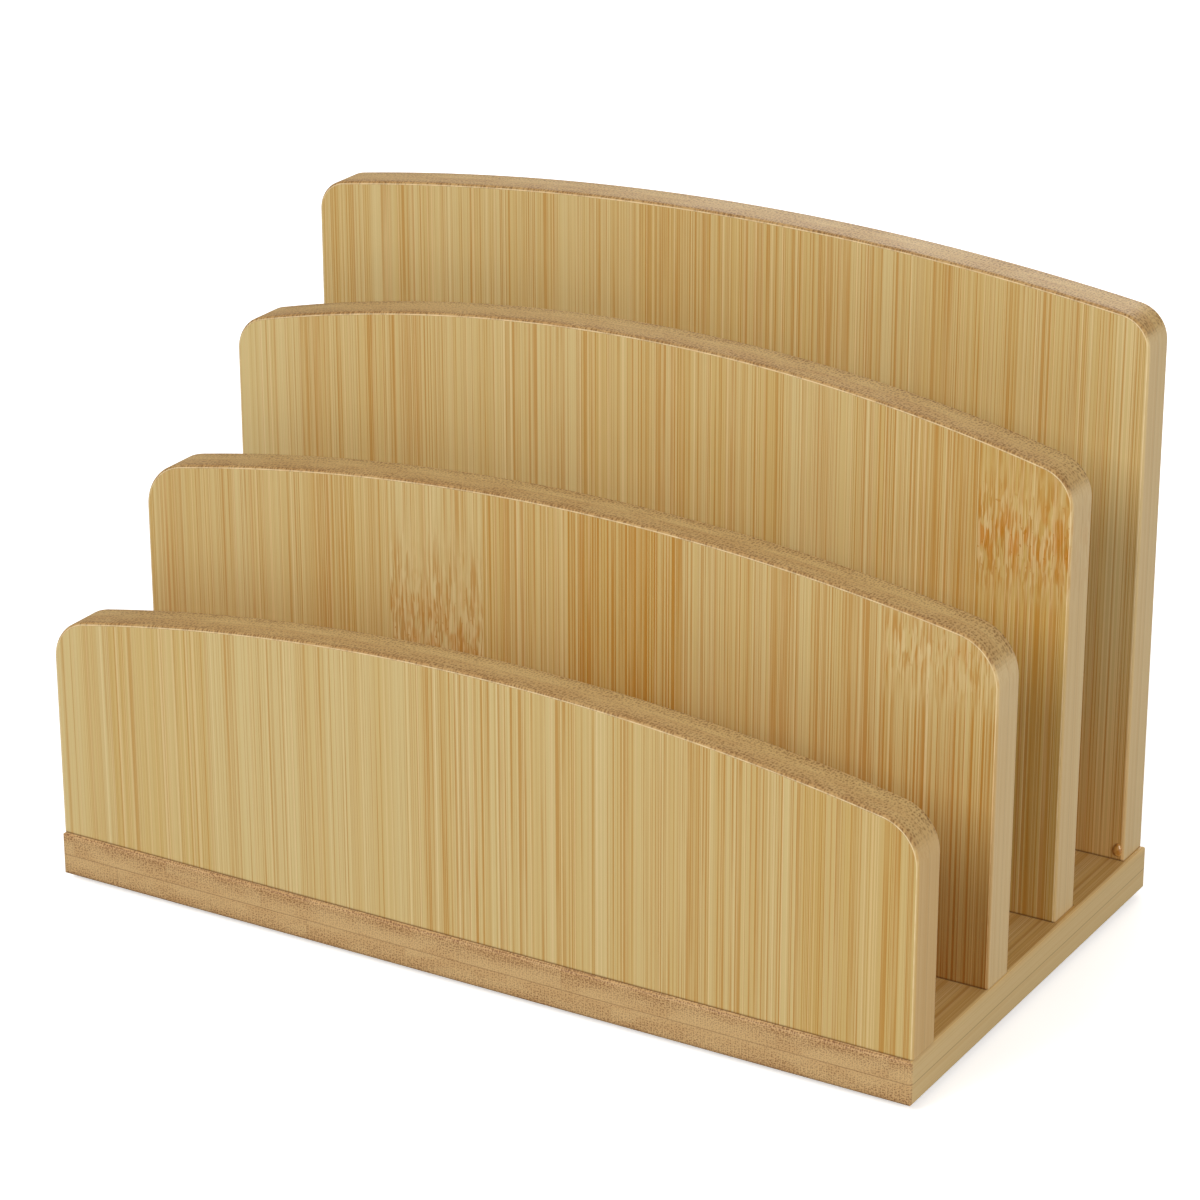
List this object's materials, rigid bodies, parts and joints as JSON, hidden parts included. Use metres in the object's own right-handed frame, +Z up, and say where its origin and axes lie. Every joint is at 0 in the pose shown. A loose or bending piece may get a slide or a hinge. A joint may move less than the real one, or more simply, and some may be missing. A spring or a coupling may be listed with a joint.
{
  "type": "letter sorter",
  "caption": "Desktop letter sorter: upright arch-topped wooden panels stepping up from front to back on a flat base board, with open-ended slots between them.",
  "frame": {"origin": "bottom centre of the whole sorter, on the plane that its feet rest on", "axes": "+X to the right along the panels and slots, +Y from the low front panel to the tall back panel, +Z up"},
  "size_m": [0.25, 0.137, 0.17],
  "materials": {
    "base_bamboo": "satin lacquered bamboo, grain front to back, end grain on the front and back edges",
    "front_bamboo": "satin lacquered bamboo, upright grain, end grain on the arched top",
    "second_bamboo": "satin lacquered bamboo, upright grain with growth nodes, end grain on the arched top",
    "third_bamboo": "satin lacquered bamboo, upright grain with growth nodes, end grain on the arched top",
    "back_bamboo": "satin lacquered bamboo, upright grain, end grain on the arched top",
    "zinc_steel": "bright zinc plated",
    "dowel_wood": "plain turned hardwood",
    "foot_rubber": "matt moulded rubber"
  },
  "bodies": {
    "root": {"base_board": "base_bamboo", "front_panel": "front_bamboo", "second_panel": "second_bamboo", "third_panel": "third_bamboo", "back_panel": "back_bamboo", "front_screws": "zinc_steel", "second_screws": "zinc_steel", "third_screws": "zinc_steel", "back_screws": "zinc_steel", "front_dowels": "dowel_wood", "second_dowels": "dowel_wood", "third_dowels": "dowel_wood", "back_dowels": "dowel_wood", "front_left_foot": "foot_rubber", "front_right_foot": "foot_rubber", "back_left_foot": "foot_rubber", "back_right_foot": "foot_rubber"}
  },
  "joints": []
}
